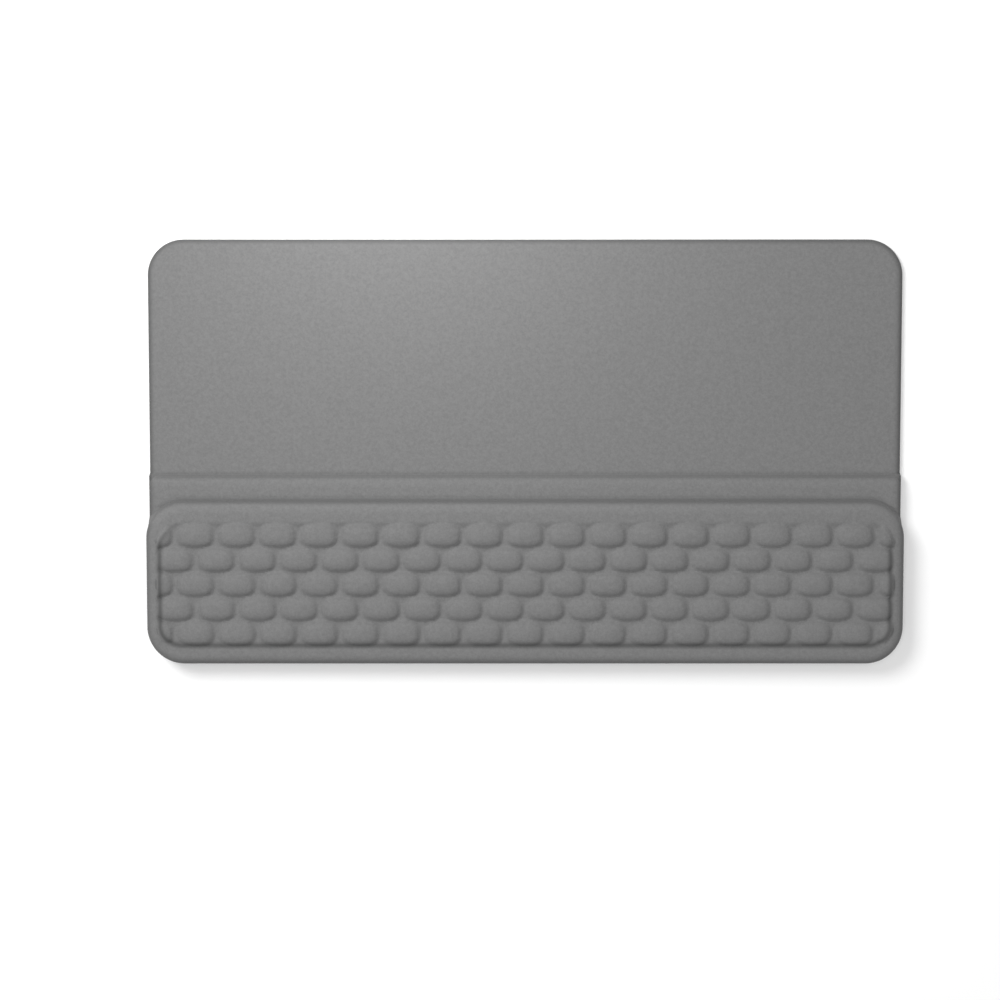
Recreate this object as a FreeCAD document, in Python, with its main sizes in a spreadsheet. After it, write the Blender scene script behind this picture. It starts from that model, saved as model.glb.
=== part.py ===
import FreeCAD, Part
import math
import os
import Sketcher

# A keyboard mat with a padded wrist rest. It is a bonded laminate that lies flat on a desk: a
# grip base, a hot-melt sheet, a full-size foam sheet, a low foam strip that stops the keyboard,
# a tall foam core with massage bumps, and one pressed fabric cover over all of it.
# +X runs along the width, +Y away from the user, +Z up. The origin is on the desk, under the
# middle of the pad. Sizes are millimetres.

OUT_FOLDER = "parts"

# alias, value, what it measures
DRIVING_SIZES = [
    ("overall_width", 445.0, "width of the wrist rest, the widest part"),
    ("overall_depth", 249.0, "front edge of the wrist rest to back edge of the mat"),
    ("mat_width", 442.4, "width of the mat and of the keyboard stop"),
    ("mat_radius", 21.0, "plan radius of the mat's back corners"),
    ("mat_top", 5.0, "height of the mat's top face above the desk"),
    ("mat_edge", 2.6, "rounding of the mat's top edge"),
    ("mat_hidden_front", -80.0, "front end of the mat tier, inside the wrist rest"),
    ("stop_back", -14.2, "back face of the keyboard stop"),
    ("stop_radius", 4.5, "plan radius of the keyboard stop's back corners"),
    ("stop_top", 9.6, "height of the keyboard stop above the desk"),
    ("stop_edge", 3.2, "rounding of the keyboard stop's top edge"),
    ("stop_hidden_front", -60.0, "front end of the stop tier, inside the wrist rest"),
    ("wrist_back", -28.2, "back face of the wrist rest"),
    ("wrist_radius", 22.0, "plan radius of the wrist rest's corners"),
    ("wrist_top", 18.5, "height of the wrist rest's rim above the desk"),
    ("wrist_edge", 5.0, "rounding of the rim's outer edge"),
    ("field_middle", -77.6, "middle of the sunken bump field"),
    ("field_width", 431.0, "width of the bump field"),
    ("field_depth", 74.2, "depth of the bump field"),
    ("field_radius", 14.0, "plan radius of the bump field's corners"),
    ("field_sunk", 1.4, "depth of the field's floor below the rim"),
    ("bump_pitch", 24.15, "spacing of the bumps along a row"),
    ("row_pitch", 14.43, "spacing of the rows"),
    ("row_middle", -76.95, "the third row, in the middle of the five"),
    ("bump_length", 21.4, "length of a bump's footprint"),
    ("bump_depth", 14.1, "depth of a bump's footprint"),
    ("bump_rise", 3.9, "height of a bump above the field's floor"),
    ("bump_core", 2.0, "how far off its axis a bump's bar starts, below the floor"),
    ("cover_thick", 0.8, "thickness of the fabric cover"),
    ("foam_gap", 0.05, "clearance between the cover and the foam in it"),
    ("base_thick", 1.2, "thickness of the grip base"),
    ("base_inset", 0.4, "how far the grip base stands back from the cover's edge"),
    ("glue_thick", 0.2, "thickness of the hot-melt sheet"),
]

# Sizes that follow from the driving ones.
DERIVED_SIZES = [
    ("glue_top", "=base_thick + glue_thick", "top of the hot-melt sheet"),
    ("floor_top", "=wrist_top - field_sunk", "floor of the bump field"),
    ("cover_inset", "=0", "the cover's outside is the pad's own outline"),
    ("cavity_inset", "=cover_thick", "the cover's inside"),
    ("foam_inset", "=cover_thick + foam_gap", "the foam's outside"),
    (
        "bump_round",
        "=(bump_depth ^ 2 / 4 + bump_rise ^ 2) / (2 * bump_rise)",
        "radius of the round-ended bar whose top is a bump",
    ),
    ("bump_bar", "=bump_length - bump_depth", "straight length of that bar"),
    ("bump_axis", "=floor_top + bump_rise - bump_round", "height of that bar's axis"),
    ("long_row_start", "=-9 * bump_pitch", "first bump of rows 1, 3 and 5"),
    ("short_row_start", "=-8.5 * bump_pitch", "first bump of rows 2 and 4"),
    ("long_row_front", "=row_middle - 2 * row_pitch", "row 1, nearest the user"),
    ("short_row_front", "=row_middle - row_pitch", "row 2"),
]

# The outline of each level, moved in by a layer's inset.
LEVEL_SIZES = [
    ("mat_wide", "mat_width - 2 * {inset}"),
    ("mat_far", "overall_depth / 2 - {inset}"),
    ("mat_near", "mat_hidden_front"),
    ("mat_corner", "mat_radius - {inset}"),
    ("mat_high", "mat_top - {inset}"),
    ("mat_fillet", "mat_edge - {inset}"),
    ("stop_wide", "mat_width - 2 * {inset}"),
    ("stop_far", "stop_back - {inset}"),
    ("stop_near", "stop_hidden_front"),
    ("stop_corner", "stop_radius - {inset}"),
    ("stop_high", "stop_top - {inset}"),
    ("stop_fillet", "stop_edge - {inset}"),
    ("wrist_wide", "overall_width - 2 * {inset}"),
    ("wrist_far", "wrist_back - {inset}"),
    ("wrist_near", "-overall_depth / 2 + {inset}"),
    ("wrist_corner", "wrist_radius - {inset}"),
    ("wrist_high", "wrist_top - {inset}"),
    ("wrist_fillet", "wrist_edge - {inset}"),
    ("field_wide", "field_width + 2 * {inset}"),
    ("field_far", "field_middle + field_depth / 2 + {inset}"),
    ("field_near", "field_middle - field_depth / 2 - {inset}"),
    ("field_corner", "field_radius + {inset}"),
    ("field_floor", "floor_top - {inset}"),
    ("trim_wide", "field_width - 2 * {inset}"),
    ("trim_far", "field_middle + field_depth / 2 - {inset}"),
    ("trim_near", "field_middle - field_depth / 2 + {inset}"),
    ("trim_corner", "field_radius - {inset}"),
    ("bar_round", "bump_round - {inset}"),
    ("bar_sweep", "2 * acos((bump_round - bump_rise - {inset}) / (bump_round - {inset})) + 2 deg"),
]
LAYERS = ["cover", "cavity", "foam", "base"]

LONG_ROW = 19  # bumps in rows 1, 3 and 5, where the rim cuts the two end ones
SHORT_ROW = 18  # bumps in rows 2 and 4, half a pitch across
START, END, CENTRE = 1, 2, 3  # a sketch edge's points


def all_sizes():
    """Every row of the spreadsheet: alias, content, note."""
    rows = DRIVING_SIZES + DERIVED_SIZES
    for layer in LAYERS:
        for name, formula in LEVEL_SIZES:
            content = "=" + formula.format(inset=f"{layer}_inset")
            rows.append((f"{layer}_{name}", content, f"{name} of the {layer} layer"))
    return rows


def make_sizes(doc):
    """Fill the spreadsheet that every feature is bound to."""
    sheet = doc.addObject("Spreadsheet::Sheet", "Sizes")
    for row, (alias, content, note) in enumerate(all_sizes(), start=1):
        sheet.set(f"A{row}", alias)
        sheet.set(f"B{row}", str(content))
        sheet.set(f"C{row}", note)
        sheet.setAlias(f"B{row}", alias)
    doc.recompute()
    return sheet


def value(body, alias):
    """A size, as a first guess for a sketch that is then bound to it."""
    return float(body.Document.Sizes.get(alias))


def origin_feature(body, role):
    """The body's own origin plane or axis with that role."""
    return next(item for item in body.Origin.OriginFeatures if item.Role == role)


def sketch_on(body, name, role, offset):
    """A sketch on one of the body's origin planes, offset along its normal."""
    sketch = body.newObject("Sketcher::SketchObject", f"{body.Name}_{name}")
    sketch.AttachmentSupport = [(origin_feature(body, role), "")]
    sketch.MapMode = "FlatFace"
    sketch.setExpression(".AttachmentOffset.Base.z", offset)
    return sketch


def bind(sketch, name, constraint, expression):
    """Add a named dimension and bind it to the spreadsheet."""
    index = sketch.addConstraint(constraint)
    sketch.renameConstraint(index, name)
    sketch.setExpression(f"Constraints.{name}", expression)


def draw_outline(body, sketch, prefix):
    """A rounded rectangle, centred in X, from a layer's four outline sizes."""
    half = value(body, f"{prefix}_wide") / 2
    far = value(body, f"{prefix}_far")
    near = value(body, f"{prefix}_near")
    r = value(body, f"{prefix}_corner")
    at = FreeCAD.Vector
    centres = [at(half - r, far - r), at(r - half, far - r), at(r - half, near + r), at(half - r, near + r)]
    sides = [
        (at(half - r, far), at(r - half, far)),
        (at(-half, far - r), at(-half, near + r)),
        (at(r - half, near), at(half - r, near)),
        (at(half, near + r), at(half, far - r)),
    ]
    arcs = []
    for quarter, centre in enumerate(centres):
        circle = Part.Circle(centre, at(0, 0, 1), r)
        turn = quarter * math.pi / 2
        arcs.append(sketch.addGeometry(Part.ArcOfCircle(circle, turn, turn + math.pi / 2), False))
    lines = [sketch.addGeometry(Part.LineSegment(a, b), False) for a, b in sides]
    make = Sketcher.Constraint
    for i in range(4):
        following = arcs[(i + 1) % 4]
        sketch.addConstraint(make("Tangent", arcs[i], END, lines[i], START))
        sketch.addConstraint(make("Tangent", lines[i], END, following, START))
    for arc in arcs[1:]:
        sketch.addConstraint(make("Equal", arcs[0], arc))
    sketch.addConstraint(make("Vertical", lines[1]))
    sketch.addConstraint(make("Horizontal", lines[2]))
    sketch.addConstraint(make("Vertical", lines[3]))
    sketch.addConstraint(make("Symmetric", lines[0], START, lines[0], END, -2))
    level = prefix.split("_")[1]
    bind(sketch, f"{level}_corner", make("Radius", arcs[0], r), f"Sizes.{prefix}_corner")
    wide = make("DistanceX", lines[1], START, lines[3], START, 2 * half)
    bind(sketch, f"{level}_wide", wide, f"Sizes.{prefix}_wide")
    bind(sketch, f"{level}_far", make("DistanceY", -1, 1, lines[0], START, far), f"Sizes.{prefix}_far")
    bind(sketch, f"{level}_near", make("DistanceY", -1, 1, lines[2], START, near), f"Sizes.{prefix}_near")


def add_pad(body, sketch, name, low, high):
    """Pad a sketch that lies at low up to high."""
    pad = body.newObject("PartDesign::Pad", f"{body.Name}_{name}")
    pad.Profile = sketch
    pad.setExpression("Length", f"{high} - {low}")
    pad.Refine = False
    body.Document.recompute()
    return pad


def flat_edges(feature, height):
    """A feature's edges that lie flat at one height, by name."""
    found = {}
    for index, edge in enumerate(feature.Shape.Edges, start=1):
        box = edge.BoundBox
        if abs(box.ZMin - height) < 1e-4 and abs(box.ZMax - height) < 1e-4:
            found[f"Edge{index}"] = box
    return found


def round_edges(feature, names, radius):
    """Fillet named edges of a body's last feature by a bound radius."""
    body = feature.getParentGeoFeatureGroup()
    fillet = body.newObject("PartDesign::Fillet", f"{feature.Name}_round")
    fillet.Base = (feature, names)
    fillet.setExpression("Radius", radius)
    body.Document.recompute()
    return fillet


def add_level(body, prefix, low, high, rounded=False):
    """Pad a layer's outline from low to high, with its top edge rounded if asked."""
    level = prefix.split("_")[1]
    sketch = sketch_on(body, level, "XY_Plane", low)
    draw_outline(body, sketch, prefix)
    pad = add_pad(body, sketch, f"{level}_level", low, high)
    if rounded:
        top = flat_edges(pad, value(body, high.replace("Sizes.", "")))
        round_edges(pad, list(top), f"Sizes.{prefix}_fillet")


def draw_bump(body, sketch, layer, first_bump):
    """The top of a round-ended bar in side view, to turn about the sketch's own X axis."""
    r = value(body, f"{layer}_bar_round")
    bar = value(body, "bump_bar")
    core = value(body, "bump_core")
    left = value(body, first_bump) - bar / 2
    right = left + bar
    reach = math.sqrt(r * r - core * core)
    low = math.asin(core / r)
    at = FreeCAD.Vector
    up = at(0, 0, 1)
    west_end = Part.ArcOfCircle(Part.Circle(at(left, 0), up, r), math.pi / 2, math.pi - low)
    east_end = Part.ArcOfCircle(Part.Circle(at(right, 0), up, r), low, math.pi / 2)
    west = sketch.addGeometry(west_end, False)
    east = sketch.addGeometry(east_end, False)
    top = sketch.addGeometry(Part.LineSegment(at(left, r), at(right, r)), False)
    foot = sketch.addGeometry(Part.LineSegment(at(left - reach, core), at(right + reach, core)), False)
    make = Sketcher.Constraint
    for constraint in (
        make("Tangent", top, START, west, START),
        make("Tangent", top, END, east, END),
        make("Coincident", west, END, foot, START),
        make("Coincident", east, START, foot, END),
        make("PointOnObject", west, CENTRE, -1),
        make("PointOnObject", east, CENTRE, -1),
        make("Equal", west, east),
        make("Horizontal", foot),
    ):
        sketch.addConstraint(constraint)
    bind(sketch, "bar_round", make("Radius", west, r), f"Sizes.{layer}_bar_round")
    bind(sketch, "bar_span", make("DistanceX", top, START, top, END, bar), "Sizes.bump_bar")
    along = make("DistanceX", -1, 1, west, CENTRE, left)
    bind(sketch, "along", along, f"Sizes.{first_bump} - Sizes.bump_bar / 2")
    bind(sketch, "core", make("DistanceY", -1, 1, foot, START, core), "Sizes.bump_core")


def add_bumps(body, layer, name, per_row, rows):
    """Rows of half-buried bars: one bar's upper part, repeated across and away from the user."""
    doc = body.Document
    sketch = sketch_on(body, f"{name}_bump", "XZ_Plane", f"-Sizes.{name}_row_front")
    sketch.setExpression(".AttachmentOffset.Base.y", "Sizes.bump_axis")
    draw_bump(body, sketch, layer, f"{name}_row_start")
    doc.recompute()
    bar = body.newObject("PartDesign::Revolution", f"{body.Name}_{name}_bar")
    bar.Profile = sketch
    bar.ReferenceAxis = (sketch, ["H_Axis"])
    bar.setExpression("Angle", f"Sizes.{layer}_bar_sweep")
    bar.Midplane = True
    bar.Refine = False
    doc.recompute()
    rows_of = body.newObject("PartDesign::LinearPattern", f"{body.Name}_{name}_rows")
    rows_of.Originals = [bar]
    rows_of.Direction = (origin_feature(body, "X_Axis"), [""])
    rows_of.Mode = "Spacing"
    rows_of.Occurrences = per_row
    rows_of.setExpression("Offset", "Sizes.bump_pitch")
    rows_of.Direction2 = (origin_feature(body, "Y_Axis"), [""])
    rows_of.Mode2 = "Spacing"
    rows_of.Occurrences2 = rows
    rows_of.Spacings2 = [-1.0] * (rows - 1)  # -1 stands for the common spacing, Offset2
    rows_of.setExpression("Offset2", "2 * Sizes.row_pitch")
    rows_of.Refine = False
    body.Tip = rows_of
    doc.recompute()


def draw_surround(sketch):
    """A rectangle that reaches past the pad on every side."""
    at = FreeCAD.Vector
    corners = [at(300, 200), at(-300, 200), at(-300, -200), at(300, -200)]
    lines = [
        sketch.addGeometry(Part.LineSegment(corners[i], corners[(i + 1) % 4]), False)
        for i in range(4)
    ]
    make = Sketcher.Constraint
    for i in range(4):
        sketch.addConstraint(make("Coincident", lines[i], END, lines[(i + 1) % 4], START))
        sketch.addConstraint(make("Horizontal" if i % 2 == 0 else "Vertical", lines[i]))
    sketch.addConstraint(make("Symmetric", lines[0], START, lines[1], END, -1, START))
    wide = make("DistanceX", lines[0], END, lines[0], START, 600)
    bind(sketch, "surround_wide", wide, "Sizes.overall_width + 100")
    deep = make("DistanceY", lines[1], END, lines[1], START, 400)
    bind(sketch, "surround_deep", deep, "Sizes.overall_depth + 100")


def trim_bumps(body, layer):
    """Cut off whatever part of the bars lies outside the bump field."""
    sketch = sketch_on(body, "trim", "XY_Plane", "0")
    draw_surround(sketch)
    draw_outline(body, sketch, f"{layer}_trim")
    before = body.Tip.Shape.Volume
    trim = body.newObject("PartDesign::Pocket", f"{body.Name}_trimmed")
    trim.Profile = sketch
    trim.Type = "ThroughAll"
    trim.Reversed = True
    trim.Refine = False
    body.Document.recompute()
    if trim.Shape.Volume >= before:
        raise RuntimeError(f"{body.Name}: the trim cut nothing")


def add_bump_field(body, layer):
    """All five rows of bumps of a layer, cut off at the field's outline."""
    add_bumps(body, layer, "long", LONG_ROW, 3)
    add_bumps(body, layer, "short", SHORT_ROW, 2)
    trim_bumps(body, layer)


def add_rim(body, layer):
    """The raised rim round the bump field, with its outer edge rounded."""
    floor = f"Sizes.{layer}_field_floor"
    sketch = sketch_on(body, "rim", "XY_Plane", floor)
    draw_outline(body, sketch, f"{layer}_wrist")
    draw_outline(body, sketch, f"{layer}_field")
    rim = add_pad(body, sketch, "rim_level", floor, f"Sizes.{layer}_wrist_high")
    round_edges(rim, outer_edges(body, rim, layer), f"Sizes.{layer}_wrist_fillet")


def outer_edges(body, rim, layer):
    """Names of the rim's outer top edges, found by being outside the field's outline."""
    height = value(body, f"{layer}_wrist_high")
    half = value(body, f"{layer}_field_wide") / 2 + 0.1
    far = value(body, f"{layer}_field_far") + 0.1
    near = value(body, f"{layer}_field_near") - 0.1
    names = []
    for name, box in flat_edges(rim, height).items():
        if box.XMax > half or box.XMin < -half or box.YMax > far or box.YMin < near:
            names.append(name)
    return names


def start_body(doc, label):
    """An empty body named after the sub-part it makes."""
    body = doc.addObject("PartDesign::Body", label)
    body.Label = label
    body.AllowCompound = True
    return body


def make_flat_layer(doc, label, layer, low, high):
    """A flat layer with the whole pad's footprint."""
    body = start_body(doc, label)
    add_level(body, f"{layer}_mat", low, high)
    add_level(body, f"{layer}_wrist", low, high)
    return body


def make_mat_foam(doc):
    """The full-size foam sheet: round-edged where the mat shows, flat under the wrist rest."""
    body = start_body(doc, "mat_foam")
    add_level(body, "foam_mat", "Sizes.glue_top", "Sizes.foam_mat_high", rounded=True)
    add_level(body, "foam_wrist", "Sizes.glue_top", "Sizes.foam_mat_high")
    return body


def make_stop_foam(doc):
    """The low strip that stops the keyboard, its front cut to the wrist rest's outline."""
    body = start_body(doc, "stop_foam")
    add_level(body, "foam_stop", "Sizes.foam_mat_high", "Sizes.foam_stop_high", rounded=True)
    sketch = sketch_on(body, "seat", "XY_Plane", "0")
    draw_outline(body, sketch, "cavity_wrist")
    before = body.Tip.Shape.Volume
    seat = body.newObject("PartDesign::Pocket", "stop_foam_seat")
    seat.Profile = sketch
    seat.Type = "ThroughAll"
    seat.Reversed = True
    doc.recompute()
    if seat.Shape.Volume > before / 2:
        raise RuntimeError("stop_foam: the wrist rest's seat was not cut")
    return body


def make_wrist_foam(doc):
    """The tall foam core, with its sunken bump field and the rim round it."""
    body = start_body(doc, "wrist_foam")
    add_bump_field(body, "foam")
    add_level(body, "foam_wrist", "Sizes.foam_mat_high", "Sizes.foam_field_floor")
    add_rim(body, "foam")
    return body


def add_levels(body, layer, low):
    """A layer's mat, keyboard stop and wrist rest with its rim, from low up."""
    add_level(body, f"{layer}_mat", low, f"Sizes.{layer}_mat_high", rounded=True)
    add_level(body, f"{layer}_stop", low, f"Sizes.{layer}_stop_high", rounded=True)
    add_level(body, f"{layer}_wrist", low, f"Sizes.{layer}_field_floor")
    add_rim(body, layer)


def make_cover(doc):
    """The fabric skin: the pad's outside less the same shape one cover's thickness in."""
    cavity = start_body(doc, "cover_cavity")
    add_levels(cavity, "cavity", "0")
    hollows = start_body(doc, "bump_hollows")
    add_bump_field(hollows, "cavity")
    body = start_body(doc, "fabric_cover")
    add_bump_field(body, "cover")
    add_levels(body, "cover", "Sizes.base_thick")
    hollow = body.newObject("PartDesign::Boolean", "fabric_cover_hollow")
    hollow.Type = "Cut"
    hollow.setObjects([cavity, hollows])
    doc.recompute()
    return body


def check_document(doc):
    """Stop if any object failed to compute."""
    bad = [item.Name for item in doc.Objects if {"Invalid", "Error"} & set(item.State)]
    if bad:
        raise RuntimeError(f"not computed: {bad}")


def export(body):
    """Write one sub-part, which must be one sound solid."""
    shape = body.Shape
    if shape.isNull() or not shape.isValid() or len(shape.Solids) != 1:
        raise RuntimeError(f"{body.Label}: not one valid solid")
    shape.exportStep(os.path.join(OUT_FOLDER, f"{body.Label}.step"))
    print(f"{body.Label}: {shape.Volume / 1000:.1f} cm3")


def main():
    """Build the document and write each sub-part's STEP file."""
    doc = FreeCAD.newDocument("wrist_rest")
    make_sizes(doc)
    bodies = [
        make_flat_layer(doc, "grip_base", "base", "0", "Sizes.base_thick"),
        make_flat_layer(doc, "glue_sheet", "foam", "Sizes.base_thick", "Sizes.glue_top"),
        make_mat_foam(doc),
        make_stop_foam(doc),
        make_wrist_foam(doc),
        make_cover(doc),
    ]
    check_document(doc)
    os.makedirs(OUT_FOLDER, exist_ok=True)
    for body in bodies:
        export(body)


main()
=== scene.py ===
import logging
import math
from dataclasses import dataclass
from enum import Enum

import bmesh
import bpy
import numpy as np
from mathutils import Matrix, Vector


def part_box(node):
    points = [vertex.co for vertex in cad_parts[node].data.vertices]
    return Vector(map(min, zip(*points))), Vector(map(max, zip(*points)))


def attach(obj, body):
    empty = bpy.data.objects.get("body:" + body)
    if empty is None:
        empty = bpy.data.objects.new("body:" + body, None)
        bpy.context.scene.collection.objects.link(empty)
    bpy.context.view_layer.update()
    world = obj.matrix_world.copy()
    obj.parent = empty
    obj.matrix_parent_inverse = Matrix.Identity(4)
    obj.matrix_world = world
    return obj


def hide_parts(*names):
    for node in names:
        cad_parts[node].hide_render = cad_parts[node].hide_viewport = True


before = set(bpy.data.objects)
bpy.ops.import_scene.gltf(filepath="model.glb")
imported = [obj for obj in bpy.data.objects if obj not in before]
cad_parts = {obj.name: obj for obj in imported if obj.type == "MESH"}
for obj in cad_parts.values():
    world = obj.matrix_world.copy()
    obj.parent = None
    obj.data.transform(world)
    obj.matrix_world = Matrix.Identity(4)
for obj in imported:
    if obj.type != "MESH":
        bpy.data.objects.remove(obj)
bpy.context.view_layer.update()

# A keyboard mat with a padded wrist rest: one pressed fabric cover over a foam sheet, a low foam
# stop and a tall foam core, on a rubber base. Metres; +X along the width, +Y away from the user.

MM = 0.001
LOG = logging.getLogger("wrist_rest")

Array = np.ndarray
Colour = tuple[float, float, float, float]


# ---------------------------------------------------------------- helpers


def linear(code: str) -> Colour:
    """Turn an sRGB hex colour to the linear values that shaders take.

    Args:
        code: the colour as "#rrggbb".

    Returns:
        Linear red, green, blue and an alpha of one.
    """
    parts = [int(code[i : i + 2], 16) / 255 for i in (1, 3, 5)]
    flat = [p / 12.92 if p <= 0.04045 else ((p + 0.055) / 1.055) ** 2.4 for p in parts]
    return (flat[0], flat[1], flat[2], 1.0)


def add_node(tree: bpy.types.NodeTree, kind: str, links: dict | None = None, **settings) -> bpy.types.Node:
    """Add a node, set its properties and fill its inputs.

    Args:
        tree: the node tree it goes in.
        kind: the node's type name.
        links: input name or number to a value, or to the output socket that feeds it.
        settings: properties of the node.

    Returns:
        The new node.
    """
    node = tree.nodes.new(kind)
    for name, value in settings.items():
        setattr(node, name, value)
    for key, value in (links or {}).items():
        if isinstance(value, bpy.types.NodeSocket):
            tree.links.new(value, node.inputs[key])
        else:
            node.inputs[key].default_value = value
    return node


def smooth(low: float, high: float, value: Array) -> Array:
    """The smooth step from 0 at low to 1 at high."""
    t = np.clip((value - low) / (high - low), 0.0, 1.0)
    return t * t * (3.0 - 2.0 * t)


def inside_rectangle(x: Array, y: Array, half: float, near: float, far: float, corner: float) -> Array:
    """How far points lie inside a rounded rectangle that is centred in X.

    Args:
        x: points' X.
        y: points' Y.
        half: half its width.
        near: its front edge.
        far: its back edge.
        corner: its corner radius.

    Returns:
        The distance to its outline, negative outside.
    """
    middle, deep = (near + far) / 2, (far - near) / 2
    dx = np.abs(x) - (half - corner)
    dy = np.abs(y - middle) - (deep - corner)
    outside = np.hypot(np.maximum(dx, 0.0), np.maximum(dy, 0.0))
    return corner - outside - np.minimum(np.maximum(dx, dy), 0.0)


def quarter_round(inside: Array, across: Array | float, drop: float) -> Array:
    """How far a rounded edge lies below the top face, at a distance inside the outline.

    Args:
        inside: distance inside the outline.
        across: width of the rounding in plan.
        drop: height of the rounding.

    Returns:
        The drop, from all of it at the outline to zero at the end of the rounding.
    """
    t = 1.0 - np.clip(inside / across, 0.0, 1.0)
    return drop * (1.0 - np.sqrt(1.0 - t * t))


# ---------------------------------------------------------------- the pad's shape


@dataclass(frozen=True)
class Tier:
    """One level of the pad: a rounded rectangle with a soft top edge.

    Its edge falls by drop over roll of width.
    """

    half: float
    near: float
    far: float
    corner: float
    top: float
    roll: float
    drop: float

    def inside(self, x: Array, y: Array) -> Array:
        """Distance inside the tier's outline."""
        return inside_rectangle(x, y, self.half, self.near, self.far, self.corner)


@dataclass(frozen=True)
class PadShape:
    """The pad's outside: its three levels, the sunken bump field and the pressed lines between them.

    The crowns stay above the foam's own rounded edges, so that no foam shows through the cover.
    """

    mat: Tier
    stop: Tier
    rest: Tier
    field_half: float
    field_near: float
    field_far: float
    stop_crown: float = 0.0070
    rest_crown: float = 0.0075
    foot_slope: float = 3.0
    field_corner: float = 0.014
    field_sunk: float = 0.0014
    field_edge: float = 0.0016
    field_back_edge: float = 0.0045
    line_depth: float = 0.0005
    line_width: float = 0.0016
    channel_depth: float = 0.0003
    channel_width: float = 0.0015
    mat_hidden: float = -0.080
    stop_hidden: float = -0.060
    back_from: float = -0.060
    back_to: float = -0.045
    crown_to: float = -0.035
    hem_reach: float = 0.0022
    # How dark each mark is painted: mostly painted shade in the two creases, the channel and the turned edge,
    # with some real darkening of the pressed nap.
    stop_nap_and_shade: float = 0.42
    rest_nap_and_shade: float = 0.68
    edge_nap_and_shade: float = 0.85

    @classmethod
    def from_frame(cls, rise: float) -> "PadShape":
        """Take the levels' outlines and heights from the solids' boxes.

        Args:
            rise: height of a bump over the sunken field.

        Returns:
            The pad's shape.
        """
        low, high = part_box("fabric_cover")
        wrist, stop, mat = (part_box(node)[1] for node in ("wrist_foam", "stop_foam", "mat_foam"))
        skin = high[0] - wrist[0]
        half = stop[0] + skin
        rest_far = wrist[1] + skin
        rest_top = high[2] - rise + cls.field_sunk
        return cls(
            mat=Tier(half, cls.mat_hidden, high[1], 0.021, mat[2] + skin, 0.0047, 0.0030),
            stop=Tier(half, cls.stop_hidden, stop[1] + skin, 0.0045, stop[2] + skin, 0.0045, 0.0030),
            rest=Tier(high[0], low[1], rest_far, 0.022, rest_top, 0.0060, 0.0060),
            field_half=high[0] - 0.0070,
            field_near=low[1] + 0.0098,
            field_far=rest_far - 0.0123,
        )

    def stop_line(self, y: Array) -> Array:
        """How much the pressed line at the keyboard stop's foot counts, from 0 to 1."""
        return np.exp(-(((y - self.stop.far) / self.line_width) ** 2))

    def rest_line(self, x: Array, y: Array) -> Array:
        """How much the pressed line at the wrist rest's foot counts, from 0 to 1."""
        near = np.exp(-((self.rest.inside(x, y) / self.line_width) ** 2))
        return near * smooth(self.back_from, self.back_to, y)

    def channel(self, x: Array, y: Array) -> Array:
        """How much the channel round the bump field counts, from 0 to 1.

        Args:
            x: points' X.
            y: points' Y.

        Returns:
            Its share at each point.
        """
        inside = self.field_inside(x, y)
        near = np.exp(-(((inside - self.channel_width) / self.channel_width) ** 2))
        # The channel fades towards the back, where its painted shade is meant to be weaker; its depth fades
        # with it.
        return near * (1.0 - 0.9 * smooth(self.back_from, self.back_to, y))

    def hem(self, x: Array, y: Array) -> Array:
        """How much painted shade lies along the turned edge of the whole pad, from 0 to 1."""
        inside = np.maximum(self.rest.inside(x, y), self.mat.inside(x, y))
        return np.exp(-((np.maximum(inside, 0.0) / self.hem_reach) ** 2))

    def pressed_nap_and_shade(self, x: Array, y: Array) -> Array:
        """How dark the cover is painted, from 0 to 1: painted shade in the creases, the channel round the
        bump field and along the turned edge, where a pressed nap is also a little darker.

        Args:
            x: points' X.
            y: points' Y.

        Returns:
            The share at each point.
        """
        lines = [self.stop_nap_and_shade * self.stop_line(y), self.rest_nap_and_shade * self.rest_line(x, y)]
        lines += [self.edge_nap_and_shade * self.channel(x, y), self.edge_nap_and_shade * self.hem(x, y)]
        return np.maximum.reduce(lines)

    def mat_height(self, x: Array, y: Array) -> Array:
        """Height of the mat's level.

        Args:
            x: points' X.
            y: points' Y.

        Returns:
            Heights over the desk.
        """
        tier = self.mat
        level = tier.top - quarter_round(tier.inside(x, y), tier.roll, tier.drop)
        return level - self.line_depth * self.stop_line(y)

    def stop_height(self, x: Array, y: Array) -> Array:
        """Height of the keyboard stop: a short steep rise, then a long soft crown.

        Args:
            x: points' X.
            y: points' Y.

        Returns:
            Heights over the desk.
        """
        tier = self.stop
        depth = tier.far - y
        back = 1.0 - np.clip(depth / self.stop_crown, 0.0, 1.0)
        side = 1.0 - np.clip((tier.half - np.abs(x)) / tier.roll, 0.0, 1.0)
        drop = tier.drop * (1.0 - np.sqrt(np.clip(1.0 - back**2 - side**2, 0.0, 1.0)))
        level = tier.top - drop + self.foot_slope * np.minimum(depth, 0.0)
        return level - self.line_depth * self.rest_line(x, y)

    def rest_height(self, x: Array, y: Array) -> Array:
        """Height of the wrist rest, without its bumps.

        Args:
            x: points' X.
            y: points' Y.

        Returns:
            Heights over the desk.
        """
        tier = self.rest
        inside = tier.inside(x, y)
        crown = tier.roll + (self.rest_crown - tier.roll) * smooth(self.back_from, self.crown_to, y)
        height = tier.top - quarter_round(inside, crown, tier.drop)
        back = smooth(self.back_from, self.back_to, y)
        edge = self.field_edge + (self.field_back_edge - self.field_edge) * back
        sunk = self.field_sunk * smooth(-0.0008, edge, self.field_inside(x, y))
        channel = self.channel_depth * self.channel(x, y)
        return height - sunk - channel + self.foot_slope * np.minimum(inside, 0.0)

    def field_inside(self, x: Array, y: Array) -> Array:
        """Distance inside the bump field's outline."""
        return inside_rectangle(x, y, self.field_half, self.field_near, self.field_far, self.field_corner)

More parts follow.
